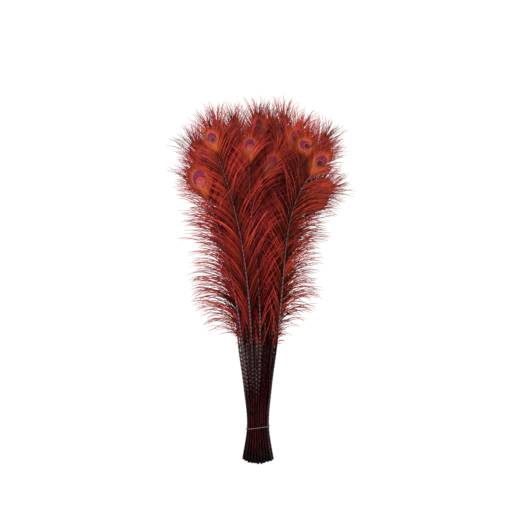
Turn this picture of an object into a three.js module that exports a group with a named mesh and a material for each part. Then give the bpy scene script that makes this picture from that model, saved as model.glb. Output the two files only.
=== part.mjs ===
// A bunch of dyed peacock tail feathers, tied with string near the cut quill ends and lying down.
// Millimetres. X runs across the bunch, Y from the cut ends towards the plumes, Z up from the surface.
// Every feather is one solid: a tapering quill whose upper half widens into two thin vanes with ragged locks.
import * as THREE from "three";

// The tied bundle of quills
const TIED_ROWS = [10, 10, 10, 9]; // quills in each row where the string goes round, lowest row first
const QUILL_DIAMETER = 3.9;
const QUILL_SPACING = 4.4; // between quill centres in a row
const ROW_SPACING = QUILL_SPACING * Math.sin(Math.PI / 3);
const STRING_DIAMETER = 1.6;
const STRING_GAP = 0.6; // clear space between the string and the quills
const TIE_Y = 74; // middle of the string, from the cut ends
const HELD_Y = 118; // up to here the quills stay together above the string
const KNOT_ANGLE = 1.8 * Math.PI; // round the bundle, from the right hand side upwards
const KNOT_SPREAD = 0.16; // in radians
const KNOT_SWELL = 0.9; // share by which the knot is thicker than the string
const STRING_STEPS = 60; // straight pieces in the turn of string
const STRING_SIDES = 6;
const TIE_SLANT = 5; // how much further along the string crosses on the right than on the left
const END_FLARE = 0.52; // share by which the bundle widens from the string down to the cut ends
const END_ROUNDING = 7; // how much shorter the outermost quills are cut than the middle ones
const END_UNEVENNESS = 2;
const END_RISE = 0.15; // share by which the rows open from the string down to the cut ends

// One feather
const BARE_QUILL = 236; // stripped length, from the cut end to the first barbs
const QUILL_TAPER_START = 270;
const SHAFT_RADIUS_AT_EYE = 0.45;
const SHAFT_TAPER_POWER = 2.5;
const SHAFT_FLATNESS = 0.54; // height of the shaft as a share of its width, where it carries barbs
const VANE_HALF_WIDTH = 72; // at its widest, to the tips of the barbs
const EYE_HALF_WIDTH = 49; // beside the eye
const TIP_REACH = 62; // from the middle of the eye to the tip of the vane
const TIP_HALF_WIDTH = 12;
const SHOULDER_NARROWING = 0.42; // share of the way from the eye's width to the tip's, half way up to the tip
const BARB_SWEEP = 0.72; // how far a barb's tip lies ahead of its root, as a share of its reach sideways
const FRINGE_SWEEP = 0.25; // the same for the lowest barbs, which arch back
const FRINGE_ARCH = 0.4; // share of the vane up to which barbs arch back
const LOCK_DEPTH = 0.24; // share of the half width that separates one lock from the next
const VANE_STATIONS = 8; // sections between the first barbs and the eye
const INNER_WIDENING = [-0.02, 0.48]; // shares of the vane between which it widens, facing other feathers
const OUTER_WIDENING = [-0.02, 0.13]; // the same on the outer side of the outermost feathers
const FRINGE_FADE = [0.15, 0.55]; // shares between which the long low barbs give way to the usual ones
const EYE_NARROWING = [0.55, 1]; // the same for the narrowing towards the eye
const LEFT_FRINGE = 102; // reach of the long low barbs on that outer side
const RIGHT_FRINGE = 86;

// The spread of the plumes above the string
const EYE_LEFT = -106; // middle of the leftmost eyes, from the axis of the bundle
const EYE_RIGHT = 121;
const EYE_CROWN = 690; // height of the topmost eyes above the cut ends
const EYE_CROWN_X = 8;
const EYE_DROP = 0.0047; // how fast the crown of eyes falls away to the sides, per millimetre
const EYE_DEPTH = 95; // how far below the crown the lowest eyes lie
const LEAN_PER_MM = 0.35; // degrees that a feather leans at its eye, for each millimetre off the axis
const SPREAD_HALF_WIDTH = 43; // of the quills where they lie evenly side by side, just below the first barbs
const SPREAD_PHASES = [0, 0.5, 0.25, 0.75]; // shift of each tied row there, in spaces between its quills
const SPREAD_SHARE = 0.24; // where that is, as a share of the bend from the string to the eye
const RISE_STIFFNESS = 0.58; // length of the straight part above the string, as a share of the way to the eye
const BEND_STIFFNESS = 0.3; // the same below the eye

// The heap of plumes, where every feather lies in a sheet of its own
const HEAP_ROWS = [6, 7, 8, 7, 6, 5]; // feathers in each row of eyes, lowest row first
const HEAP_THICKNESS = 138;
const HEAP_RISEN_Y = 480; // the heap thickens from the string up to here
const HEAP_FULL_Y = 540; // from here to the tips the heap gets thinner again
const HEAP_TIP_SHARE = 0.72;
const HEAP_SAG = 0.45; // share of its height that the heap loses at its sides
const HEAP_SIDE_REACH = 92; // from the outermost quills to the sides of the heap
const SHEETS_BEGIN_Y = 94;
const SHEETS_APART_Y = 280; // from here up the feathers are a full sheet apart
const FRONT_ROWS = 2; // the uppermost rows
const FRONT_SHEETS = 1.5; // sheets that each feather of those rows takes up
const ROW_SHEETS = 0.5; // room left between the sheets of one row and those of the next
const BARB_TIP_RADIUS = 0.3;

// Feathers that show at the front: where their eye is, how they lean there, in degrees to the right,
// and for the two uppermost rows their place in the heap, lowest first. Named by row and column.
const FRONT_FEATHERS = {
  "5:0": { eye: [-115, 577], lean: -22, order: 3 },
  "5:1": { eye: [-91, 658], lean: -19, order: 4 },
  "5:2": { eye: [-16, 643], lean: 4, order: 2 },
  "5:3": { eye: [94, 645], lean: 17, order: 0 },
  "5:4": { eye: [125, 612], lean: 42, order: 1 },
  "4:0": { eye: [-108, 622], lean: -20, order: 4 },
  "4:1": { eye: [-80, 675], lean: -8, order: 2 },
  "4:2": { eye: [-39, 584], lean: -6, order: 0 },
  "4:3": { eye: [28, 610], lean: 26, order: 5 },
  "4:4": { eye: [76, 664], lean: 27, order: 3 },
  "4:5": { eye: [130, 555], lean: 64, order: 1 },
  "3:0": { eye: [-117, 634], lean: -24 },
  "3:2": { eye: [-46, 676], lean: -5 },
  "3:3": { eye: [0, 686], lean: 0 },
  "3:4": { eye: [50, 684], lean: 8 },
  "3:6": { eye: [125, 648], lean: 33 },
};

const FEATHER_COLOUR = "#8e1f1a";
const FEATHER_ROUGHNESS = 0.75;
const STRING_COLOUR = "#b9a394";
const STRING_ROUGHNESS = 0.85;

const GOLDEN = (Math.sqrt(5) - 1) / 2;

const lerp = THREE.MathUtils.lerp;
const smoothstep = THREE.MathUtils.smoothstep;

// An even spread of shares from 0 to 1, one for each feather and purpose
function evenShare(index, purpose) {
  return ((index + 1) * GOLDEN + purpose * GOLDEN * GOLDEN * GOLDEN) % 1;
}

// The columns of a row in the order in which their sheets lie on each other: left and right half by turns
function stackingOrder(row, count) {
  const columns = [...Array(count).keys()];
  const place = (column) => {
    const front = FRONT_FEATHERS[`${row}:${column}`];
    if (front && front.order !== undefined) return front.order;
    const half = Math.ceil(count / 2);
    const fromMiddle = column < half ? half - 1 - column : count - 1 - column;
    return 2 * fromMiddle + (column < half ? 0 : 1);
  };
  return columns.sort((a, b) => place(a) - place(b));
}

// Where each feather's eye is, and which sheet of the heap it lies in
function arrangeFeathers() {
  const feathers = [];
  let level = 0;
  HEAP_ROWS.forEach((count, row) => {
    const levels = [];
    stackingOrder(row, count).forEach((column) => {
      levels[column] = level;
      level += row < HEAP_ROWS.length - FRONT_ROWS ? 1 : FRONT_SHEETS;
    });
    level += ROW_SHEETS;
    for (let column = 0; column < count; column++) {
      const index = feathers.length;
      const across = count > 1 ? column / (count - 1) : 0.5;
      const front = FRONT_FEATHERS[`${row}:${column}`];
      const eyeX = lerp(EYE_LEFT, EYE_RIGHT, across);
      const crown = EYE_CROWN - EYE_DROP * (eyeX - EYE_CROWN_X) ** 2;
      const eye = front ? front.eye : [eyeX, crown - EYE_DEPTH * evenShare(index, 0)];
      feathers.push({
        name: `feather_${String(index + 1).padStart(2, "0")}`,
        index,
        level: levels[column],
        eye: new THREE.Vector2(...eye),
        lean: THREE.MathUtils.degToRad(front ? front.lean : (eyeX - EYE_CROWN_X) * LEAN_PER_MM),
        left: column === 0 ? [OUTER_WIDENING, LEFT_FRINGE] : [INNER_WIDENING, VANE_HALF_WIDTH],
        right: column === count - 1 ? [OUTER_WIDENING, RIGHT_FRINGE] : [INNER_WIDENING, VANE_HALF_WIDTH],
      });
    }
  });
  return { feathers, levels: level };
}

// At the string the quills lie in close rows, the lowest sheets in the lowest row, each row in the order of
// its eyes, every other row shifted by half a space. Further up, the quills of a row show between the others.
function tieQuills(feathers) {
  const fromBelow = [...feathers].sort((a, b) => a.level - b.level);
  TIED_ROWS.forEach((count, row) => {
    const shift = (row % 2 ? 1 : -1) * (QUILL_SPACING / 4) * (count % 2 ? 0 : 1);
    const held = fromBelow.splice(0, count).sort((a, b) => a.eye.x - b.eye.x);
    held.forEach((feather, column) => {
      const across = (column + SPREAD_PHASES[row]) / (count - 1 + Math.max(...SPREAD_PHASES));
      feather.tiedRow = row;
      feather.tieX = (column - (count - 1) / 2) * QUILL_SPACING + shift;
      feather.spreadX = lerp(-SPREAD_HALF_WIDTH, SPREAD_HALF_WIDTH, across);
    });
  });
}

const { feathers, levels: LEVELS } = arrangeFeathers();
tieQuills(feathers);
const BUNDLE_HALF_WIDTH = ((Math.max(...TIED_ROWS) - 1) * QUILL_SPACING) / 2;

// The line of a feather's shaft seen from above: straight where it is held, then one long bend to the eye,
// which passes its place among the evenly spread quills
function planLine(feather) {
  const tie = new THREE.Vector2(feather.tieX, TIE_Y);
  const edge = (feather.tieX / BUNDLE_HALF_WIDTH) ** 2;
  const cutY = END_ROUNDING * edge + END_UNEVENNESS * evenShare(feather.index, 1);
  const cut = new THREE.Vector2(feather.tieX * (1 + END_FLARE * (1 - cutY / TIE_Y)), cutY);
  const heading = new THREE.Vector2(Math.sin(feather.lean), Math.cos(feather.lean));
  const held = new THREE.Vector2(feather.tieX, HELD_Y);
  const reach = feather.eye.distanceTo(held);
  const bend = feather.eye.clone().addScaledVector(heading, -reach * BEND_STIFFNESS);
  const [done, left] = [SPREAD_SHARE, 1 - SPREAD_SHARE];
  const others = left ** 3 * held.x + 3 * left * done ** 2 * bend.x + done ** 3 * feather.eye.x;
  const riseX = (feather.spreadX - others) / (3 * left ** 2 * done);
  const rise = new THREE.Vector2(riseX, HELD_Y + reach * RISE_STIFFNESS);
  const tip = feather.eye.clone().addScaledVector(heading, TIP_REACH);
  const line = new THREE.Path().moveTo(cut.x, cut.y);
  line.lineTo(tie.x, tie.y);
  line.lineTo(held.x, held.y);
  line.bezierCurveTo(rise.x, rise.y, bend.x, bend.y, feather.eye.x, feather.eye.y);
  line.lineTo(tip.x, tip.y);
  return line;
}

function heapThickness(y) {
  const bundle = TIED_ROWS.length * ROW_SPACING;
  const full = lerp(bundle, HEAP_THICKNESS, smoothstep(y, TIE_Y, HEAP_RISEN_Y));
  return full * lerp(1, HEAP_TIP_SHARE, smoothstep(y, HEAP_FULL_Y, EYE_CROWN + TIP_REACH));
}

// The heap is highest along its middle and sinks towards its sides
function heapCrown(x, y) {
  const spread = lerp(BUNDLE_HALF_WIDTH, EYE_RIGHT, smoothstep(y, TIE_Y, EYE_CROWN));
  const side = Math.min(1, Math.abs(x) / (spread + HEAP_SIDE_REACH));
  return 1 - HEAP_SAG * side * side;
}

// Height of a feather's middle at a place: packed in its row at the string, in its own sheet above
function heightAt(feather, x, y, radius) {
  const spread = 1 + END_RISE * Math.max(0, 1 - y / TIE_Y);
  const packed = STRING_DIAMETER + STRING_GAP + radius + feather.tiedRow * ROW_SPACING * spread;
  const sheet = radius + (feather.level / LEVELS) * heapThickness(y) * heapCrown(x, y);
  return lerp(packed, sheet, smoothstep(y, SHEETS_BEGIN_Y, SHEETS_APART_Y));
}

function shaftRadius(along, eyeAlong) {
  const share = THREE.MathUtils.clamp((along - QUILL_TAPER_START) / (eyeAlong - QUILL_TAPER_START), 0, 1);
  return (QUILL_DIAMETER / 2) * (1 - share) ** SHAFT_TAPER_POWER + SHAFT_RADIUS_AT_EYE * share;
}

// How far the barbs reach sideways, at a share of the way from the first barbs to the eye
function barbReach(share, [[start, full], low]) {
  const upper = lerp(VANE_HALF_WIDTH, EYE_HALF_WIDTH, smoothstep(share, ...EYE_NARROWING));
  return smoothstep(share, start, full) * lerp(low, upper, smoothstep(share, ...FRINGE_FADE));
}

// One section of a feather: left barb tip, two upper shaft corners, right barb tip, two lower shaft corners
function sectionOf(feather, line, along, radius, left, right) {
  const halfHeight = radius * Math.sin(Math.PI / 3) * (left.reach || right.reach ? SHAFT_FLATNESS : 1);
  const share = along / line.getLength();
  const place = line.getPointAt(share);
  const ahead = line.getTangentAt(share);
  const aside = new THREE.Vector2(ahead.y, -ahead.x);
  const shaft = (side, up) => {
    const z = heightAt(feather, place.x, place.y, radius) + up * halfHeight;
    const at = place.clone().addScaledVector(aside, side * radius * Math.cos(Math.PI / 3));
    return new THREE.Vector3(at.x, at.y, z);
  };
  const edge = (side, { reach, sweep }) => {
    const at = place.clone().addScaledVector(aside, side * Math.max(reach, radius));
    at.addScaledVector(ahead, reach * sweep);
    const edgeRadius = reach > radius ? BARB_TIP_RADIUS : radius;
    return new THREE.Vector3(at.x, at.y, heightAt(feather, at.x, at.y, edgeRadius));
  };
  return [edge(-1, left), shaft(-1, 1), shaft(1, 1), edge(1, right), shaft(1, -1), shaft(-1, -1)];
}

// A closed solid through a row of six-point sections, with faces split from the barb tips
function loft(sections) {
  const sides = sections[0].length;
  const corner = (section, side) => section * sides + (side % sides);
  const index = [];
  for (let section = 0; section < sections.length - 1; section++) {
    for (let side = 0; side < sides; side++) {
      const [a, b] = [corner(section, side), corner(section, side + 1)];
      const [d, c] = [corner(section + 1, side), corner(section + 1, side + 1)];
      if (side % 3 === 0) index.push(a, b, c, a, c, d);
      else index.push(a, b, d, b, c, d);
    }
  }
  const last = sections.length - 1;
  for (let side = 1; side < sides - 1; side++) {
    index.push(corner(0, 0), corner(0, side + 1), corner(0, side));
    index.push(corner(last, 0), corner(last, side), corner(last, side + 1));
  }
  const geometry = new THREE.BufferGeometry().setFromPoints(sections.flat());
  geometry.setIndex(index);
  return geometry;
}

// Places along the shaft where a feather has a section
function stationsOf(tieAlong, eyeAlong) {
  const vane = [...Array(VANE_STATIONS).keys()].map((i) =>
    lerp(BARE_QUILL, eyeAlong, (i + 0.5) / VANE_STATIONS),
  );
  return [0, tieAlong, (tieAlong + BARE_QUILL) / 2, BARE_QUILL, ...vane, eyeAlong];
}

function featherSolid(feather) {
  const line = planLine(feather);
  const [toTie, , toEye] = line.getCurveLengths();
  const full = line.getLength();
  const none = { reach: 0, sweep: 0 };
  const sections = stationsOf(toTie, toEye).map((along, station) => {
    const radius = shaftRadius(along, toEye);
    if (along <= BARE_QUILL) return sectionOf(feather, line, along, radius, none, none);
    const share = (along - BARE_QUILL) / (toEye - BARE_QUILL);
    const sweep = lerp(FRINGE_SWEEP, BARB_SWEEP, smoothstep(share, 0, FRINGE_ARCH));
    const side = (outline, step) => {
      const lock = step % 2 ? 1 - LOCK_DEPTH : 1;
      return { reach: barbReach(share, outline) * lock, sweep };
    };
    const left = side(feather.left, station);
    const right = side(feather.right, station + 1);
    return sectionOf(feather, line, along, radius, left, right);
  });
  const shoulder = { reach: lerp(EYE_HALF_WIDTH, TIP_HALF_WIDTH, SHOULDER_NARROWING), sweep: BARB_SWEEP };
  const tip = { reach: TIP_HALF_WIDTH, sweep: 0 };
  const thin = SHAFT_RADIUS_AT_EYE;
  sections.push(sectionOf(feather, line, lerp(toEye, full, 0.5), thin, shoulder, shoulder));
  sections.push(sectionOf(feather, line, full, thin / 2, tip, tip));
  return loft(sections);
}

// The string: one turn drawn round the outermost quills, with its knot underneath on the right
function stringSolid() {
  const radius = STRING_DIAMETER / 2;
  const held = feathers.map((feather) => {
    const z = heightAt(feather, feather.tieX, TIE_Y, QUILL_DIAMETER / 2);
    return new THREE.Vector2(feather.tieX, z);
  });
  const points = [];
  for (let step = 0; step < STRING_STEPS; step++) {
    const angle = (2 * Math.PI * step) / STRING_STEPS;
    const outward = new THREE.Vector2(Math.cos(angle), Math.sin(angle));
    const outermost = held.reduce((best, quill) => (quill.dot(outward) > best.dot(outward) ? quill : best));
    const knot = Math.exp(-(((angle - KNOT_ANGLE) / KNOT_SPREAD) ** 2));
    const thick = radius * (1 + KNOT_SWELL * knot);
    const at = outermost.clone().addScaledVector(outward, QUILL_DIAMETER / 2 + STRING_GAP + thick);
    const y = TIE_Y + (TIE_SLANT * at.x) / (2 * BUNDLE_HALF_WIDTH);
    for (let side = 0; side < STRING_SIDES; side++) {
      const turn = (2 * Math.PI * side) / STRING_SIDES;
      const out = Math.cos(turn) * thick;
      const up = y + Math.sin(turn) * thick;
      points.push(new THREE.Vector3(at.x + outward.x * out, up, at.y + outward.y * out));
    }
  }
  const corner = (step, side) => (step % STRING_STEPS) * STRING_SIDES + (side % STRING_SIDES);
  const index = [];
  for (let step = 0; step < STRING_STEPS; step++) {
    for (let side = 0; side < STRING_SIDES; side++) {
      const [a, b] = [corner(step, side), corner(step, side + 1)];
      const [d, c] = [corner(step + 1, side), corner(step + 1, side + 1)];
      index.push(a, b, c, a, c, d);
    }
  }
  const geometry = new THREE.BufferGeometry().setFromPoints(points);
  geometry.setIndex(index);
  return geometry;
}

// A named piece with a finish of its own
function piece(name, geometry, color, roughness) {
  const finish = new THREE.MeshStandardMaterial({ color, roughness, metalness: 0 });
  const mesh = new THREE.Mesh(geometry, finish);
  mesh.name = name;
  return mesh;
}

const bunch = new THREE.Group();
for (const feather of feathers) {
  bunch.add(piece(feather.name, featherSolid(feather), FEATHER_COLOUR, FEATHER_ROUGHNESS));
}
bunch.add(piece("tie_string", stringSolid(), STRING_COLOUR, STRING_ROUGHNESS));

// The bunch is centred over the origin and lies on the plane Z = 0
const box = new THREE.Box3().setFromObject(bunch);
const middle = box.getCenter(new THREE.Vector3());
bunch.position.set(-middle.x, -middle.y, -box.min.z);

export default bunch;
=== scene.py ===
"""A bunch of red dyed peacock tail feathers, tied with string near the cut quill ends and lying on a pale surface.

Each feather is built on its solid: the shaft follows the solid's middle line, and loose barbs fill its two vanes
out to their ragged edges. The eye near the tip is drawn by the material from each barb's place on the feather.
"""

import math

import bpy
import numpy as np
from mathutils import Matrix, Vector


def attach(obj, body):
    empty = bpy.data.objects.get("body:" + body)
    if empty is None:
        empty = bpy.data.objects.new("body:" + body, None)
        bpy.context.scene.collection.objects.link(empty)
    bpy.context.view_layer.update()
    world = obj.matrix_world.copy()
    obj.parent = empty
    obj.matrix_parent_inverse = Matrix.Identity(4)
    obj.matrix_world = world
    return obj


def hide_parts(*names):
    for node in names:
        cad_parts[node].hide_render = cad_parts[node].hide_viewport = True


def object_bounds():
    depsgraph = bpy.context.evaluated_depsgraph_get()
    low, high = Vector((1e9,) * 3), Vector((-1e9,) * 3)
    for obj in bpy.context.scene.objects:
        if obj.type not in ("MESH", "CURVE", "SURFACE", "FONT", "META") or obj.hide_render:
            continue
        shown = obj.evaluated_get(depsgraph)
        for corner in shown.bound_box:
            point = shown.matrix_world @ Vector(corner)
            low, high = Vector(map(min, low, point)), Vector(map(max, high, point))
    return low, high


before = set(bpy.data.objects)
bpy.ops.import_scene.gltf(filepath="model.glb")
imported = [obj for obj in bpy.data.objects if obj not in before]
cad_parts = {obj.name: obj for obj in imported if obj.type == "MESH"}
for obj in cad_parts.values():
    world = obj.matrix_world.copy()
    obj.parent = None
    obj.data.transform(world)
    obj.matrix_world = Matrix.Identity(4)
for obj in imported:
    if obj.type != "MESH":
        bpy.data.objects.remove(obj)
solid_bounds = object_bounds()

MM = 0.001
LEFT, RIGHT = -1, 1

# Barbs and shafts stay between the floor and the top of the solids
HEAP_TOP = solid_bounds[1][2]
LOWEST = 0.2 * MM

# Sections of a feather's solid, counted from the cut end
CORNERS = 6
TIE_SECTION = 1
FIRST_BARB_SECTION = 3
EYE_SECTION = 12
LEAST_SLOPE_REACH = 12 * MM
EDGE_CLOSES_OVER = 3 * MM

# Barbs with their small hooks. Real ones are narrower and stand closer; these are coarser, to keep triangles down
BARB_STEPS = 12
BARB_SPACING = 4.1 * MM
BARB_HALF_WIDTH = 0.6 * MM
SHORTEST_BARB = 12 * MM
FIRST_WISPS = 30 * MM
LENGTHS_TRIED = np.linspace(4, 112, 55) * MM

# The barbs round the eye lie close, and open into a crown of fine hairs above it
EYE_BARB_SPACING = 1.15 * MM
EYE_BARBS_BELOW = 44 * MM
EYE_BARBS_ABOVE = 13 * MM
EYE_RADIUS = 25 * MM
EYE_BARB_HALF_WIDTH = 1.3 * MM
CROWN_LENGTHS = [0.78, 0.92, 1.06]

# How far barbs pass the edge of the solid, as a share of its reach, on held and on free sides
EDGE_PASSED = {LEFT: (1.15, 1.2), RIGHT: (1.15, 1.05)}
NARROWED = {"feather_38": {LEFT: 0.7, RIGHT: 1}}

# Share of the free barbs that are whole, low on the vane and above. The others keep a share of their length
WHOLE_LOW, WHOLE_ABOVE = {LEFT: 0.5, RIGHT: 0.3}, 0.65
BROKEN_OFF = (0.3, 0.7)
LENGTHS_VARY = (0.88, 1.05)

# Angles off the shaft at which barbs leave it and at which their tips point, by share of the way up to the eye:
# free ones at the sides of the bunch, and those held between other feathers
SHARES = [0, 0.25, 0.5, 0.75, 1]
FREE_LEAVE, FREE_ARRIVE = [36, 31, 28, 27, 26], [138, 116, 86, 64, 46]
HELD_LEAVE, HELD_ARRIVE = [10, 17, 25, 28, 28], [24, 46, 66, 68, 50]
CROWN_LEAVE, CROWN_ARRIVE = 5, 13
LEAVE_VARIES, ARRIVE_VARIES = 2.5, 4.5
LATE_BEND = 1.4
VANE_FRIZZ, CROWN_FRIZZ = 9, 26
VANE_WAVES, CROWN_WAVES = 1.2, 2.4

# Barbs cling together in locks, whose tips lean to each other
LOCK_LENGTHS = (9 * MM, 24 * MM)
MOST_LOCKS = 80
LOCK_TURN = 9
STRAY_SHARE, STRAY_TURN = 0.06, 24

# Barbs stand a little off the feather's sheet, but flat in the eye
SHEET_SPREAD, EYE_SPREAD = 2.2 * MM, 0.15 * MM
TIP_RISE = 3 * MM
MOST_SPREAD = 1.6
TOP_SPREAD = 2 * MM

# The bake map: one cell for each barb, and a strip along its top for the shaft
CELL_COLUMNS, CELL_ROWS, CELLS_TOP = 62, 5, 0.92

# Eyes that differ from the usual one: their size, how much they show through the dye, and how they are turned
EYES = {
    "feather_35": (1.05, 1.0, 0), "feather_36": (0.72, 1.0, 0), "feather_37": (0.8, 0.6, 8),
    "feather_38": (0.72, 0.9, 75), "feather_39": (0.85, 0.7, 0), "feather_29": (0.85, 0.3, 0),
    "feather_30": (0.7, 0.5, 0), "feather_31": (0.8, 0.6, 0), "feather_32": (0.8, 0.35, 0),
    "feather_33": (0.8, 0.6, 0), "feather_34": (0.8, 0.2, 0), "feather_26": (0.8, 0.2, 0),
}
USUAL_EYE = (0.85, 0.35, 0)

# How far the dye turns from crimson to rust on a feather
RUST = {"feather_35": 0.1, "feather_36": 0.55, "feather_37": 0.3, "feather_38": 0.7, "feather_39": 0.7}
USUAL_RUST = (0.2, 0.7)

# Painted shade on the left and right vane. Inner feathers are painted nearly black, as the shaded gaps between strands
# are
LAST_INNER_FEATHER = 28
INNER_PAINTED_SHADE = (0.16, 0.16)
NO_PAINTED_SHADE = (1, 1)
# Some front feathers are painted darker, as shade in the middle of the bunch; free barbs at the sides only a little
FRONT_PAINTED_SHADE = {
    "feather_31": (0.7, 0.7), "feather_32": (0.45, 0.45), "feather_33": (0.6, 0.6), "feather_38": (0.4, 1),
}
FREE_PAINTED_SHADE = 0.85

# A strand's tone is partly its own and partly its lock's. Roots get painted shade; open tips have a least tone
OWN_TONE, LOCK_TONE = 0.45, 0.65
HELD_ROOT_SHADE, FREE_ROOT_SHADE = 0.85, 0.3
LEAST_TIP_TONE, LEAST_EYE_TONE = 0.65, 0.3

# Shafts, thicker where they carry barbs and sunk under the eye, with stubs of barbs in even steps along them
SHAFT_SIDES = 8
SHAFT_STEPS = 200
SHAFT_WIDENED, SHAFT_WIDENS_OVER = 1.6, 90 * MM
SHAFT_PAST_EYE = 6 * MM
SHAFT_SUNK_AT_EYE = 1.2 * MM
STUB_PITCH = 9 * MM
STUB_RELIEF = 0.1

# Pale stubs show along the vane. From just above the tie, pale beads on the quills that cross it at the left are a
# painted highlight
STUBS_GROW_OVER = 60 * MM
HIGHLIGHT_ABOVE_TIE = 5 * MM
FULL_HIGHLIGHT_X, NO_HIGHLIGHT_X = -18 * MM, 10 * MM

chance = np.random.default_rng(39)


def linear(colour):
    """An sRGB hex colour as linear red, green, blue and alpha."""
    channels = [int(colour[i:i + 2], 16) / 255 for i in (1, 3, 5)]
    return (*[c / 12.92 if c <= 0.04045 else ((c + 0.055) / 1.055) ** 2.4 for c in channels], 1.0)


def smooth(x, low, high):
    """0 at low and 1 at high, with a soft start and end."""
    t = np.clip((x - low) / (high - low), 0, 1)
    return t * t * (3 - 2 * t)


def mix(a, b, share):
    """The first value where the share is 0 and the second where it is 1."""
    return a + (b - a) * share


# Reading a feather from its solid

def sections_of(solid):
    """The solid's sections from the cut end to the tip, each the places of its corners."""
    points = np.array([v.co for v in solid.data.vertices])
    places, same = np.unique(np.round(points, 6), axis=0, return_inverse=True)
    same = same.reshape(-1)
    beside = [set() for _ in places]
    for edge in solid.data.edges:
        a, b = (int(same[i]) for i in edge.vertices)
        beside[a].add(b)
        beside[b].add(a)
    ring, seen, sections = set(np.argsort(places[:, 1])[:CORNERS].tolist()), set(), []
    while ring:
        sections.append(places[sorted(ring)])
        seen |= ring
        ring = set().union(*(beside[i] for i in ring)) - seen
    return np.array(sections)


class Feather:
    """The middle line of a feather's shaft and the edges of its vanes, as lengths along and across it."""

    def __init__(self, solid):
        self.name = solid.name
        sections = sections_of(solid)
        rough = np.median(sections, axis=1)
        ahead = np.gradient(rough, axis=0)
        ahead[:, 2] = 0
        ahead /= np.linalg.norm(ahead, axis=1)[:, None]
        aside = np.stack([ahead[:, 1], -ahead[:, 0], np.zeros(len(ahead))], axis=1)
        offsets = np.einsum("sci,si->sc", sections - rough[:, None], aside)
        order = np.argsort(offsets, axis=1)
        ranked = np.take_along_axis(sections, order[:, :, None], axis=1)
        self.middle = ranked[:, 1:-1].mean(axis=1)
        self.radius = np.linalg.norm(ranked[:, 1:-1] - self.middle[:, None], axis=2).mean(axis=1)
        steps = np.linalg.norm(np.diff(self.middle, axis=0), axis=1)
        self.at = np.concatenate([[0], np.cumsum(steps)])
        self.slopes = np.gradient(self.middle, self.at, axis=0)
        self.tie = self.at[TIE_SECTION]
        self.first_barb = self.at[FIRST_BARB_SECTION]
        self.eye = self.at[EYE_SECTION]
        self.end = self.at[-1]
        self.edges = {
            LEFT: self.edge(ranked[:, 0], ahead, aside, LEFT),
            RIGHT: self.edge(ranked[:, -1], ahead, aside, RIGHT),
        }
        self.free = {side: self.freedom(side) for side in (LEFT, RIGHT)}

    def edge(self, tips, ahead, aside, side):
        """How far along and across the barb tips of one side are, and how they rise or sink across."""
        away = tips - self.middle
        along = self.at + np.einsum("si,si->s", away, ahead)
        reach = side * np.einsum("si,si->s", away, aside)
        sink = (tips[:, 2] - self.line(along)[:, 2]) / np.maximum(reach, LEAST_SLOPE_REACH)
        along, reach, sink = (x[FIRST_BARB_SECTION:] for x in (along, reach, sink))
        return np.append(along, along[-1] + EDGE_CLOSES_OVER), np.append(reach, 0), np.append(sink, sink[-1])

    def freedom(self, side):
        """1 where a vane widens at once above the bare quill, as at the sides of the bunch, and 0 where it is held."""
        along, reach, _ = self.edges[side]
        low = np.interp(mix(self.first_barb, self.eye, 0.2), along, reach)
        return smooth(low / reach.max(), 0.35, 0.8)

    def line(self, along):
        """Places on the middle line, continued straight beyond the tip."""
        i = np.clip(np.searchsorted(self.at, along) - 1, 0, len(self.at) - 2)
        step = (self.at[i + 1] - self.at[i])[..., None]
        t = np.clip((along - self.at[i])[..., None] / step, 0, 1)
        beyond = np.maximum(along - self.end, 0)[..., None] * self.slopes[-1]
        p, q, m, n = self.middle[i], self.middle[i + 1], self.slopes[i] * step, self.slopes[i + 1] * step
        bend = (2 * t**3 - 3 * t**2 + 1) * p + (t**3 - 2 * t**2 + t) * m
        return bend + (-2 * t**3 + 3 * t**2) * q + (t**3 - t**2) * n + beyond

    def aside(self, along):
        """The direction to the right of the shaft, level with the floor."""
        ahead = self.line(along + MM) - self.line(along - MM)
        right = np.stack([ahead[..., 1], -ahead[..., 0], np.zeros(along.shape)], axis=-1)
        return right / np.linalg.norm(right, axis=-1)[..., None]

    def place(self, along, across, lift):
        """Points on the feather's sheet, at lengths along and across it, raised by lift."""
        left, right = (np.interp(along, *self.edges[side][::2]) for side in (LEFT, RIGHT))
        points = self.line(along) + self.aside(along) * across[..., None]
        points[..., 2] += np.where(across < 0, left, right) * np.abs(across) + lift
        return points


# Barbs

def barb_roots(feather):
    """Where barbs leave the shaft, on which side, and whether they belong to the eye."""
    rows = []
    eye_start = feather.eye - EYE_BARBS_BELOW
    vane = np.arange(feather.first_barb - FIRST_WISPS, eye_start, BARB_SPACING)
    eye = np.arange(eye_start, feather.eye + EYE_BARBS_ABOVE, EYE_BARB_SPACING)
    for side in (LEFT, RIGHT):
        for roots, spacing, is_eye in ((vane, BARB_SPACING, 0), (eye, EYE_BARB_SPACING, 1)):
            at = roots + chance.uniform(-0.4, 0.4, len(roots)) * spacing
            rows.append(np.stack([at, np.full(len(at), side), np.full(len(at), is_eye)], axis=1))
    return np.concatenate(rows)


def lock_places(at, side):
    """Each barb's place in its lock, from -1 to 1, and a number that is the same for a whole lock."""
    place, shared = np.zeros(len(at)), np.zeros(len(at))
    for which in (LEFT, RIGHT):
        mine = side == which
        ends = at.min() + np.concatenate([[-MM], np.cumsum(chance.uniform(*LOCK_LENGTHS, MOST_LOCKS))])
        i = np.searchsorted(ends, at[mine])
        place[mine] = 2 * (at[mine] - ends[i - 1]) / (ends[i] - ends[i - 1]) - 1
        shared[mine] = chance.uniform(0, 1, len(ends))[i]
    return place, shared


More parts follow.
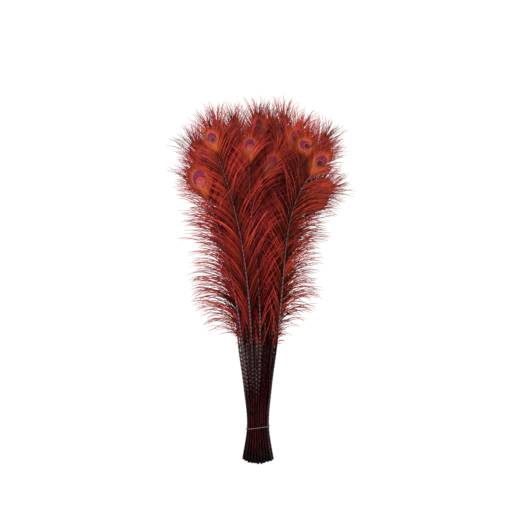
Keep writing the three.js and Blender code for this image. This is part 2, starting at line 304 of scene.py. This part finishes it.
def longest_barbs(feather, side, at, along, across):
    """The longest length tried for each barb whose tip stays inside its vane's edge."""
    length = np.zeros(len(at))
    for which in (LEFT, RIGHT):
        mine = side == which
        edge_along, edge_reach, _ = feather.edges[which]
        tip_along = at[mine, None] + along[mine, -1:] * LENGTHS_TRIED
        reach = mix(*EDGE_PASSED[which], feather.free[which]) * NARROWED.get(feather.name, {}).get(which, 1)
        inside = np.abs(across[mine, -1:]) * LENGTHS_TRIED
        inside = inside <= reach * np.interp(tip_along, edge_along, edge_reach, right=-1)
        length[mine] = np.where(inside, LENGTHS_TRIED, 0).max(axis=1)
    return length


def barb_lines(feather, roots):
    """The barbs' middle lines as lengths along and across the feather, their lengths, and what their tone and painted
    shade depend on.

    That is the number of a barb's lock, how free it is, and how much it is held low between the quills.
    """
    at, side, is_eye = roots.T
    count = len(at)
    share = np.maximum(0, at - feather.first_barb) / (feather.eye - feather.first_barb)
    begun = smooth(at, feather.first_barb - FIRST_WISPS, feather.first_barb + 2 * FIRST_WISPS)
    crown = smooth(at, feather.eye - EYE_BARBS_BELOW, feather.eye + EYE_BARBS_ABOVE)
    free = np.where(side == LEFT, feather.free[LEFT], feather.free[RIGHT])
    leave = mix(np.interp(share, SHARES, HELD_LEAVE), np.interp(share, SHARES, FREE_LEAVE), free)
    arrive = mix(np.interp(share, SHARES, HELD_ARRIVE), np.interp(share, SHARES, FREE_ARRIVE), free)
    lock, shared = lock_places(at, side)

    # Each barb bends from the angle at its root to the angle at its tip, with a slight wave
    stray = chance.normal(0, STRAY_TURN, count) * (chance.uniform(0, 1, count) < STRAY_SHARE)
    leave = np.radians(mix(leave, CROWN_LEAVE, crown) + chance.normal(0, LEAVE_VARIES, count))
    turn_in = LOCK_TURN * lock * mix(1, 0.3, is_eye)
    arrive = mix(arrive, CROWN_ARRIVE, crown) + turn_in + stray + chance.normal(0, ARRIVE_VARIES, count)
    arrive = np.radians(arrive)
    t = np.linspace(0, 1, BARB_STEPS + 1)
    phase = chance.uniform(0, 2 * np.pi, count)
    frizz = np.radians(mix(VANE_FRIZZ, CROWN_FRIZZ * smooth(t[None, :], 0.45, 0.8), is_eye[:, None]))
    waves = mix(VANE_WAVES, CROWN_WAVES, is_eye[:, None])
    wave = frizz * np.sin(2 * np.pi * waves * t + phase[:, None]) * t
    angle = mix(leave[:, None], arrive[:, None], t**LATE_BEND) + wave
    angle = (angle[:, 1:] + angle[:, :-1]) / 2
    root = np.zeros((count, 1))
    along = np.concatenate([root, np.cumsum(np.cos(angle), axis=1)], axis=1) / BARB_STEPS
    across = np.concatenate([root, np.cumsum(np.sin(angle), axis=1)], axis=1) / BARB_STEPS

    length = longest_barbs(feather, side, at, along, across)
    whole_low = np.where(side == LEFT, WHOLE_LOW[LEFT], WHOLE_LOW[RIGHT])
    whole = mix(1, mix(whole_low, WHOLE_ABOVE, smooth(share, 0, 0.45)), free)
    whole = np.maximum(mix(0.1, 1, begun) * whole, is_eye)
    is_whole = chance.uniform(0, 1, count) < whole
    left_over = np.where(is_whole, 1, chance.uniform(*BROKEN_OFF, count) * begun)
    length *= chance.uniform(*LENGTHS_VARY, count) * left_over
    length *= mix(1, chance.choice(CROWN_LENGTHS, count), is_eye)

    held_low = (1 - free) * (1 - smooth(share, 0, 0.3))
    shared = shared * (1 - 0.5 * smooth(np.abs(lock), 0.55, 1))
    along = at[:, None] + along * length[:, None]
    across = side[:, None] * across * length[:, None]
    return along, across, length, shared, free, held_low


def barb_tones(feather, side, is_eye, shared, free, held_low, t):
    """How bright each barb is along it: its own random tone, with painted shade at roots, in inner feathers and low
    between the quills, and bright at open tips.
    """
    tone = OWN_TONE * smooth(chance.uniform(0, 1, len(side)), 0.05, 0.95) + LOCK_TONE * shared
    tone, is_eye, free_side, held_low = (x[:, None] for x in (tone, is_eye, free, held_low))
    # Painted shade: inner feathers darkened nearly to black, some front feathers less, free barbs at the sides only a
    # little
    inner = int(feather.name[-2:]) <= LAST_INNER_FEATHER
    left_shaded, right_shaded = INNER_PAINTED_SHADE if inner else FRONT_PAINTED_SHADE.get(feather.name, NO_PAINTED_SHADE)
    painted_shade = mix(np.where(side == LEFT, left_shaded, right_shaded), FREE_PAINTED_SHADE, free)[:, None]
    # Painted shade: roots darkened, and low strands held between the quills darkened through a steeper curve
    root_shade = mix(HELD_ROOT_SHADE, FREE_ROOT_SHADE, free_side) * (1 - smooth(t, 0, 0.5))
    strand = np.minimum(1, 1.3 * smooth(tone, 0.12, 1) ** (1.1 + 0.5 * held_low))
    # Open tips are left out of the painted shade, with a least tone
    open_tip = np.maximum(free_side, is_eye) * smooth(t, 0.25, 0.7)
    tip_tone = np.maximum(tone, mix(LEAST_TIP_TONE, LEAST_EYE_TONE, is_eye))
    return mix(strand * painted_shade * (1 - root_shade), tip_tone, open_tip)


def barb_mesh(feather):
    """All barbs of a feather as closed three-sided slivers that end in a point."""
    roots = barb_roots(feather)
    along, across, length, *toned_and_shaded_by = barb_lines(feather, roots)
    keep = length > SHORTEST_BARB
    along, across, side, is_eye = along[keep], across[keep], roots[keep, 1], roots[keep, 2]
    shared, free, held_low = (x[keep] for x in toned_and_shaded_by)
    count = len(along)
    t = np.linspace(0, 1, BARB_STEPS + 1)[None, :]
    scale, _, turn = EYES.get(feather.name, USUAL_EYE)
    from_eye = np.hypot(across, (along - feather.eye) * 0.8) / scale
    in_eye = (1 - smooth(from_eye, 0.75 * EYE_RADIUS, 1.1 * EYE_RADIUS)) * is_eye[:, None]

    spread = np.clip(chance.normal(0, 1, (count, 1)), -MOST_SPREAD, MOST_SPREAD)
    lift = mix(SHEET_SPREAD, EYE_SPREAD, in_eye) * spread * t + mix(TIP_RISE, 0, in_eye) * t**2 * np.abs(spread)
    points = feather.place(along, across, lift)
    points[..., 2] = np.minimum(points[..., 2], HEAP_TOP - TOP_SPREAD * np.abs(spread))
    forward = np.gradient(points, axis=1)
    forward /= np.linalg.norm(forward, axis=2)[..., None]
    across_barb = np.cross(forward, [0, 0, 1])
    across_barb /= np.linalg.norm(across_barb, axis=2)[..., None]
    upward = np.cross(across_barb, forward)

    pointed = (1 - t**5) ** 0.5
    taper = (1.15 - mix(0.6, 0.8, is_eye[:, None]) * t) * pointed * chance.uniform(0.7, 1.3, (count, 1))
    taper = taper * (1 + 0.4 * free[:, None] * (1 - is_eye[:, None]) * t)
    half = mix(BARB_HALF_WIDTH * taper, EYE_BARB_HALF_WIDTH * scale * pointed, in_eye)
    corners = np.stack([
        points - across_barb * half[..., None],
        points + across_barb * half[..., None],
        points + upward * (half * mix(1.1, 0.35, in_eye))[..., None],
    ], axis=2)[:, :-1]
    corners[..., 2] = np.maximum(corners[..., 2], LOWEST)

    tone = barb_tones(feather, side, is_eye, shared, free, held_low, t)
    turned = np.exp(-1j * math.radians(turn)) * (across + 1j * (along - feather.eye)) / scale
    plane = np.stack([turned.real, turned.imag], axis=2)
    return corners, points[:, -1], plane, tone, np.broadcast_to(t, along.shape)


def barb_faces(corners, plane):
    """The barbs' triangles, each of three knots. In the bake map a barb's three sides lie beside each other."""
    count, rings = corners.shape[:2]
    barb = np.arange(count)
    cell_w, cell_h = 1 / CELL_COLUMNS, CELLS_TOP / CELL_ROWS
    cell_u, cell_v = (barb % CELL_COLUMNS) * cell_w, (barb // CELL_COLUMNS) * cell_h

    def vertex(ring, corner):
        return count * rings * 3 + barb if ring == rings else barb * rings * 3 + ring * 3 + corner % 3

    def knot(ring, corner, u, v):
        """A vertex with its place in its cell of the bake map and its place round the eye."""
        in_cell = np.stack([cell_u + cell_w * u, cell_v + cell_h * v], axis=1)
        return vertex(ring, corner), in_cell, plane[:, ring]

    def on_side(ring, corner):
        return knot(ring, corner, 0.12 + 0.76 * corner / 3, 0.08 + 0.86 * ring / BARB_STEPS)

    triangles = []
    for ring in range(rings):
        for side in range(3):
            a, b = on_side(ring, side), on_side(ring, side + 1)
            if ring == rings - 1:
                triangles.append((a, b, on_side(rings, side + 0.5)))
            else:
                c, d = on_side(ring + 1, side + 1), on_side(ring + 1, side)
                triangles += [(a, b, c), (a, c, d)]
    triangles.append((knot(0, 2, 0.12, 0.01), knot(0, 1, 0.88, 0.01), knot(0, 0, 0.5, 0.06)))
    return triangles


def shaft_mesh(feather):
    """The quill and shaft, from the cut end to just above the eye, as a closed tapering tube."""
    along = np.linspace(0, feather.eye + EYE_BARBS_ABOVE + SHAFT_PAST_EYE, SHAFT_STEPS + 1)
    middle = feather.line(along)
    right = feather.aside(along)
    forward = np.gradient(middle, axis=0)
    upward = np.cross(right, forward / np.linalg.norm(forward, axis=1)[:, None])
    widened = mix(1, SHAFT_WIDENED, smooth(along, feather.first_barb, feather.first_barb + SHAFT_WIDENS_OVER))
    radius = np.interp(along, feather.at, feather.radius) * widened
    under = smooth(along, feather.eye - EYE_BARBS_BELOW, feather.eye - 0.5 * EYE_RADIUS)
    middle = middle - upward * (SHAFT_SUNK_AT_EYE * under)[:, None]
    turn = np.arange(SHAFT_SIDES) * 2 * np.pi / SHAFT_SIDES
    rim = np.cos(turn)[None, :, None] * right[:, None] + np.sin(turn)[None, :, None] * upward[:, None]
    stubs = 1 + STUB_RELIEF * np.sin(2 * np.pi * along[:, None] / STUB_PITCH + turn[None, :])
    points = middle[:, None] + rim * (radius[:, None] * stubs)[..., None]
    points[..., 2] = np.maximum(points[..., 2], LOWEST)
    return points, along


def shaft_faces(feather, along, first):
    """The shaft's triangles, each of three knots. It lies along the top of the bake map, its two ends above it."""

    def knot(step, side):
        """A vertex with its place in the bake map and its place below the eye."""
        flat = np.stack([0.02 + 0.96 * step / SHAFT_STEPS, CELLS_TOP + 0.01 + 0.05 * side / SHAFT_SIDES], axis=1)
        below_eye = np.stack([np.zeros(len(step)), along[step] - feather.eye], axis=1)
        return first + step * SHAFT_SIDES + side % SHAFT_SIDES, flat, below_eye

    def end_knot(step, side, end_u):
        angle = 2 * np.pi * side / SHAFT_SIDES
        vertex, _, below_eye = knot(step, side)
        return vertex, np.stack([end_u + 0.012 * np.cos(angle), 0.985 + 0.012 * np.sin(angle)], axis=1), below_eye

    step, side = (x.ravel() for x in np.meshgrid(np.arange(SHAFT_STEPS), np.arange(SHAFT_SIDES), indexing="ij"))
    a, b, c, d = knot(step, side), knot(step, side + 1), knot(step + 1, side + 1), knot(step + 1, side)
    triangles = [(a, b, c), (a, c, d)]
    fan = np.arange(1, SHAFT_SIDES - 1)
    around = [np.zeros(len(fan), int), fan, fan + 1]
    for end, end_u, corners in ((0, 0.04, around[::-1]), (SHAFT_STEPS, 0.1, around)):
        triangles.append([end_knot(np.full(len(fan), end), corner, end_u) for corner in corners])
    return triangles


def stub_paleness_and_highlight(feather, along):
    """How pale the beads are along the shaft: real stubs all along the vane, and a painted highlight on the quills at
    the left of the bunch.
    """
    on_vane = smooth(along, feather.first_barb, feather.first_barb + STUBS_GROW_OVER)
    # Painted highlight: pale beads on the quills at the left, full left of the first x and none right of the second
    rough = smooth(along, feather.tie + HIGHLIGHT_ABOVE_TIE, feather.first_barb - FIRST_WISPS)
    rough = rough * (1 - smooth(feather.middle[TIE_SECTION, 0], FULL_HIGHLIGHT_X, NO_HIGHLIGHT_X)) * chance.uniform(0.6, 1.1)
    stubs = (0.5 + 0.5 * np.sin(2 * np.pi * (along / STUB_PITCH + chance.uniform(0, 1)))) ** 0.7
    return stubs * mix(rough, 1, on_vane)


def stacked(triangles):
    """Triangles as three arrays: their vertices, and their places in the bake map and round the eye."""
    return [
        np.concatenate([np.stack([knot[part] for knot in triangle], axis=1) for triangle in triangles])
        for part in range(3)
    ]


def plume(feather, materials):
    """One feather as a single mesh: its shaft and all its barbs."""
    corners, tips, plane, tone, t = barb_mesh(feather)
    rim, along = shaft_mesh(feather)
    verts = np.concatenate([corners.reshape(-1, 3), tips, rim.reshape(-1, 3)])
    on_barbs = barb_faces(corners, plane)
    barb_triangles = len(on_barbs) * len(corners)
    faces, maps, planes = stacked(on_barbs + shaft_faces(feather, along, len(verts) - rim.shape[0] * SHAFT_SIDES))
    mesh = bpy.data.meshes.new("plume" + feather.name[-3:])
    mesh.from_pydata(verts, [], faces)
    mesh.uv_layers.new(name="OFBake").data.foreach_set("uv", maps.reshape(-1).astype(np.float32))
    mesh.uv_layers.new(name="EyePlane").data.foreach_set("uv", planes.reshape(-1).astype(np.float32))

    def at_vertices(on_barb, on_shaft):
        """Values along the barbs and along the shaft, repeated for the vertices round them."""
        at_corners = np.repeat(on_barb[:, :-1].reshape(-1), 3)
        return np.concatenate([at_corners, on_barb[:, -1], np.repeat(on_shaft, SHAFT_SIDES)])

    _, shows, _ = EYES.get(feather.name, USUAL_EYE)
    values = {
        "tone": at_vertices(tone, stub_paleness_and_highlight(feather, along)),
        "root_to_tip": at_vertices(t, along / along[-1]),
        "rust": np.full(len(verts), RUST.get(feather.name, chance.uniform(*USUAL_RUST))),
        "eye_shows": np.full(len(verts), shows),
    }
    for name, value in values.items():
        mesh.attributes.new(name, "FLOAT", "POINT").data.foreach_set("value", value.astype(np.float32))
    for material in materials:
        mesh.materials.append(material)
    is_shaft = np.arange(len(faces)) >= barb_triangles
    mesh.polygons.foreach_set("material_index", is_shaft.astype(np.int32))
    mesh.polygons.foreach_set("use_smooth", np.ones(len(faces), bool))
    mesh.update()
    piece = bpy.data.objects.new(mesh.name, mesh)
    bpy.context.scene.collection.objects.link(piece)
    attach(piece, "root")
    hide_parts(feather.name)


# Materials

def add(tree, kind, settings=None, links=None):
    """A shader node with its settings; links fill its inputs from other nodes' outputs or with plain values."""
    node = tree.nodes.new("ShaderNode" + kind)
    for name, value in (settings or {}).items():
        setattr(node, name, value)
    for name, source in (links or {}).items():
        if isinstance(source, bpy.types.NodeSocket):
            tree.links.new(source, node.inputs[name])
        else:
            node.inputs[name].default_value = source
    return node


def new_material(name):
    material = bpy.data.materials.new(name)
    material.use_nodes = True
    tree = material.node_tree
    return material, tree, tree.nodes["Principled BSDF"]


def attribute(tree, name):
    return add(tree, "Attribute", {"attribute_name": name}).outputs["Fac"]


def between(tree, value, low, high, most=1.0):
    """0 where the value is low, rising evenly to the most where it is high."""
    ranges = {"Value": value, "From Min": low, "From Max": high, "To Max": most}
    return add(tree, "MapRange", {}, ranges).outputs["Result"]


def times(tree, a, b):
    return add(tree, "Math", {"operation": "MULTIPLY"}, {0: a, 1: b}).outputs[0]


def layered(tree, under, over, mask):
    """One colour laid over another where the mask is 1."""
    links = {6: under, 7: over, 0: mask}
    return add(tree, "Mix", {"data_type": "RGBA"}, links).outputs[2]


def oval(tree, plane, middle, half, soft):
    """A mask that is 1 inside an oval on the feather, in mm, with an edge that is soft by a share of its size."""
    scale = (1 / (half[0] * MM), 1 / (half[1] * MM), 1)
    offset = (-middle[0] / half[0], -middle[1] / half[1], 0)
    links = {0: plane, 1: scale, 2: offset}
    placed = add(tree, "VectorMath", {"operation": "MULTIPLY_ADD"}, links).outputs[0]
    size = add(tree, "VectorMath", {"operation": "LENGTH"}, {0: placed}).outputs["Value"]
    ranges = {"Value": size, "From Min": 1 + soft, "From Max": 1 - soft}
    return add(tree, "MapRange", {"interpolation_type": "SMOOTHSTEP"}, ranges).outputs["Result"]


def dyed_barb_keratin():
    """Dyed feather barbs: matt, uneven red, with painted shade at the root and on inner feathers, a painted highlight
    at the tips, and the feather's eye showing through the dye.
    """
    material, tree, skin = new_material("dyed_barb_keratin")
    tone, t, rust, shows = (attribute(tree, name) for name in ("tone", "root_to_tip", "rust", "eye_shows"))
    plane = add(tree, "UVMap", {"uv_map": "EyePlane"}).outputs["UV"]

    # Rusty roots turn crimson, and a paler pink toward the tips is a painted highlight
    fading = {0: times(tree, rust, t), 1: -0.7, 2: rust}
    rust_left = add(tree, "Math", {"operation": "MULTIPLY_ADD"}, fading).outputs[0]
    bright = layered(tree, linear("#bc272c"), linear("#c44a1c"), rust_left)
    # Painted highlight: paler pink toward the tips
    bright = layered(tree, bright, linear("#d4524a"), between(tree, t, 0.35, 1, 0.4))
    # Dark to bright red by tone, which carries random tone and the painted shade of roots, inner feathers and low held
    # strands
    red = layered(tree, linear("#150101"), bright, tone)

    # The eye, from the orange zone round it in to the disc. On rusty feathers the disc is dull with a dark pupil
    dull = between(tree, rust, 0.35, 0.6)
    zone = layered(tree, linear("#7e2614"), linear("#a04016"), rust)
    disc = layered(tree, linear("#96323c"), linear("#84413c"), dull)
    colour = red
    for over, middle, half, soft in (
        (zone, (0, -4), (24, 36), 0.3),
        (linear("#9c481a"), (0, -26), (5.5, 13), 0.4),
        (linear("#a04a2c"), (0, 0), (15.5, 20.5), 0.08),
        (linear("#651a3c"), (0, 0.3), (13, 17.8), 0.07),
        (linear("#3f0c18"), (0, -5.5), (11.2, 11.6), 0.06),
        (disc, (0, -5.8), (10.1, 10.5), 0.07),
    ):
        colour = layered(tree, colour, over, oval(tree, plane, middle, half, soft))
    lower = oval(tree, plane, (-2, -9.5), (6.5, 6), 0.6)
    glow = add(tree, "Math", {"operation": "SUBTRACT"}, {0: lower, 1: times(tree, lower, dull)}).outputs[0]
    colour = layered(tree, colour, linear("#a2503c"), glow)
    pupil = times(tree, oval(tree, plane, (0.5, -5), (7.4, 7.6), 0.15), dull)
    colour = layered(tree, colour, linear("#3a0f16"), pupil)
    tree.links.new(layered(tree, red, colour, shows), skin.inputs["Base Color"])
    skin.inputs["Roughness"].default_value = 0.5
    skin.inputs["Specular IOR Level"].default_value = 0.06
    return material


def stripped_quill_keratin():
    """Stripped and dyed quills: nearly black maroon horn, polished by the stripping, greyer where it carries barbs,
    with pale beads painted as a highlight on the quills at the left.
    """
    material, tree, skin = new_material("stripped_quill_keratin")
    place = add(tree, "TexCoord").outputs["Object"]
    t, stubs_and_highlight = attribute(tree, "root_to_tip"), attribute(tree, "tone")

    # Streaks about 1 mm wide and 17 mm long follow the quills
    drawn = add(tree, "Mapping", {}, {"Vector": place, "Scale": (900, 60, 900)}).outputs["Vector"]
    streak = add(tree, "TexNoise", {}, {"Vector": drawn, "Scale": 1.0, "Detail": 3.0}).outputs["Fac"]
    quill = layered(tree, linear("#120102"), linear("#560e12"), between(tree, streak, 0.5, 0.8))
    # Pale stubs along the vane, and on the quills at the left a painted highlight of pale beads
    quill = layered(tree, quill, linear("#745a59"), between(tree, stubs_and_highlight, 0.25, 0.9))
    quill = layered(tree, linear("#0d0304"), quill, between(tree, t, 0.015, 0.05))
    shaft = layered(tree, linear("#3c2024"), linear("#7c626a"), stubs_and_highlight)
    colour = layered(tree, quill, shaft, between(tree, t, 0.38, 0.6))
    tree.links.new(colour, skin.inputs["Base Color"])
    skin.inputs["Roughness"].default_value = 0.35
    skin.inputs["Specular IOR Level"].default_value = 0.12
    return material


def twisted_cotton():
    """Undyed cotton string of two twisted plies: matt, pale, with fine darker fibres about 0.4 mm long."""
    material, tree, skin = new_material("twisted_cotton")
    place = add(tree, "TexCoord").outputs["Object"]
    fibre = add(tree, "TexNoise", {}, {"Vector": place, "Scale": 2500.0, "Detail": 2.0}).outputs["Fac"]
    colour = layered(tree, linear("#57403e"), linear("#8a706c"), fibre)
    tree.links.new(colour, skin.inputs["Base Color"])
    skin.inputs["Roughness"].default_value = 0.9
    return material


# The string

PLY_PITCH = 4.2 * MM
PLY_RADIUS = 0.44 * MM
PLY_OFF_MIDDLE = 0.38 * MM
PLY_SIDES = 6
PLY_STEPS = 420

# The solid's turn of string: straight pieces in it, and corners of its section
TURN_STEPS = 60
STRING_CORNERS = 6


def turn_of_string(solid):
    """Places along the middle of the solid's turn of string, even steps round it, and its length."""
    points = np.array([v.co for v in solid.data.vertices])
    points = np.unique(np.round(points, 6), axis=0)
    hub = (points.min(axis=0) + points.max(axis=0)) / 2
    angle = np.arctan2(points[:, 2] - hub[2], points[:, 0] - hub[0])
    order = np.argsort(angle)
    angle, points = angle[order], points[order]
    middle = []
    for a in np.linspace(-np.pi, np.pi, TURN_STEPS + 1)[:-1]:
        nearest = np.argsort(np.abs(np.angle(np.exp(1j * (angle - a)))))[:STRING_CORNERS]
        middle.append(points[nearest].mean(axis=0))
    closed = np.array(middle + middle[:1])
    lengths = np.concatenate([[0], np.cumsum(np.linalg.norm(np.diff(closed, axis=0), axis=1))])
    at = np.linspace(0, lengths[-1], PLY_STEPS, endpoint=False)
    return np.stack([np.interp(at, lengths, closed[:, k]) for k in range(3)], axis=1), at, lengths[-1]


def tie_string(solid, material):
    """Two plies twisted round each other along the middle of the solid's turn of string."""
    line, at, length = turn_of_string(solid)
    turns = round(length / PLY_PITCH)
    ahead = np.roll(line, -1, axis=0) - np.roll(line, 1, axis=0)
    ahead /= np.linalg.norm(ahead, axis=1)[:, None]
    up = np.cross(ahead, [0, 1, 0])
    up /= np.linalg.norm(up, axis=1)[:, None]
    other = np.cross(ahead, up)
    verts, faces = [], []
    for ply in (0, 1):
        twist = 2 * np.pi * turns * at / length + np.pi * ply
        centre = line + PLY_OFF_MIDDLE * (np.cos(twist)[:, None] * up + np.sin(twist)[:, None] * other)
        base = ply * PLY_STEPS * PLY_SIDES
        ring = []
        for side in range(PLY_SIDES):
            a = 2 * np.pi * side / PLY_SIDES
            ring.append(centre + PLY_RADIUS * (math.cos(a) * up + math.sin(a) * other))
        verts.append(np.maximum(np.stack(ring, axis=1).reshape(-1, 3), [-np.inf, -np.inf, 0]))
        for i in range(PLY_STEPS):
            here, there = base + i * PLY_SIDES, base + (i + 1) % PLY_STEPS * PLY_SIDES
            for side in range(PLY_SIDES):
                k = (side + 1) % PLY_SIDES
                faces.append([here + side, here + k, there + k, there + side])
    mesh = bpy.data.meshes.new("twisted_string")
    mesh.from_pydata(np.concatenate(verts), [], faces)
    mesh.polygons.foreach_set("use_smooth", np.ones(len(faces), bool))
    mesh.materials.append(material)
    piece = bpy.data.objects.new("twisted_string", mesh)
    bpy.context.scene.collection.objects.link(piece)
    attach(piece, "root")
    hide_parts(solid.name)


# The bunch

finishes = [dyed_barb_keratin(), stripped_quill_keratin()]
for name in sorted(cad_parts):
    if name.startswith("feather"):
        plume(Feather(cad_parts[name]), finishes)
tie_string(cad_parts["tie_string"], twisted_cotton())


# Pale floor, soft light and the camera straight above

def pale_floor():
    """A floor that glows evenly, so that it stays pale and takes hardly any shadow."""
    bpy.ops.mesh.primitive_plane_add(size=30, location=(0, 0, -0.5 * MM))
    floor = bpy.context.object
    floor.name = "pale_floor"
    material, tree, skin = new_material("pale_floor")
    skin.inputs["Base Color"].default_value = linear("#242424")
    skin.inputs["Emission Color"].default_value = linear("#ffffff")
    skin.inputs["Emission Strength"].default_value = 1.0
    skin.inputs["Roughness"].default_value = 0.9
    skin.inputs["Specular IOR Level"].default_value = 0.0
    floor.data.materials.append(material)


def soft_box(name, place, size, power):
    """A square lamp that faces the middle of the bunch."""
    light = bpy.data.lights.new(name, "AREA")
    light.shape, light.size, light.energy = "SQUARE", size, power
    lamp = bpy.data.objects.new(name, light)
    lamp.location = place
    lamp.rotation_euler = (-lamp.location).to_track_quat("-Z", "Y").to_euler()
    bpy.context.scene.collection.objects.link(lamp)


pale_floor()
soft_box("window_side", (-2.0, 1.1, 2.3), 0.8, 150)
soft_box("room_side", (2.2, 0.8, 2.1), 0.8, 110)
world = bpy.data.worlds.new("studio")
bpy.context.scene.world = world
world.use_nodes = True
world.node_tree.nodes["Background"].inputs["Color"].default_value = (1, 1, 1, 1)
world.node_tree.nodes["Background"].inputs["Strength"].default_value = 0.03

CAMERA_ABOVE = 2.92
camera = bpy.data.objects.new("camera", bpy.data.cameras.new("camera"))
camera.location = (-0.0131, 0.0508, CAMERA_ABOVE)
camera.data.lens, camera.data.sensor_width = 100, 36
bpy.context.scene.collection.objects.link(camera)
bpy.context.scene.camera = camera
bpy.context.scene.view_settings.view_transform = "Standard"
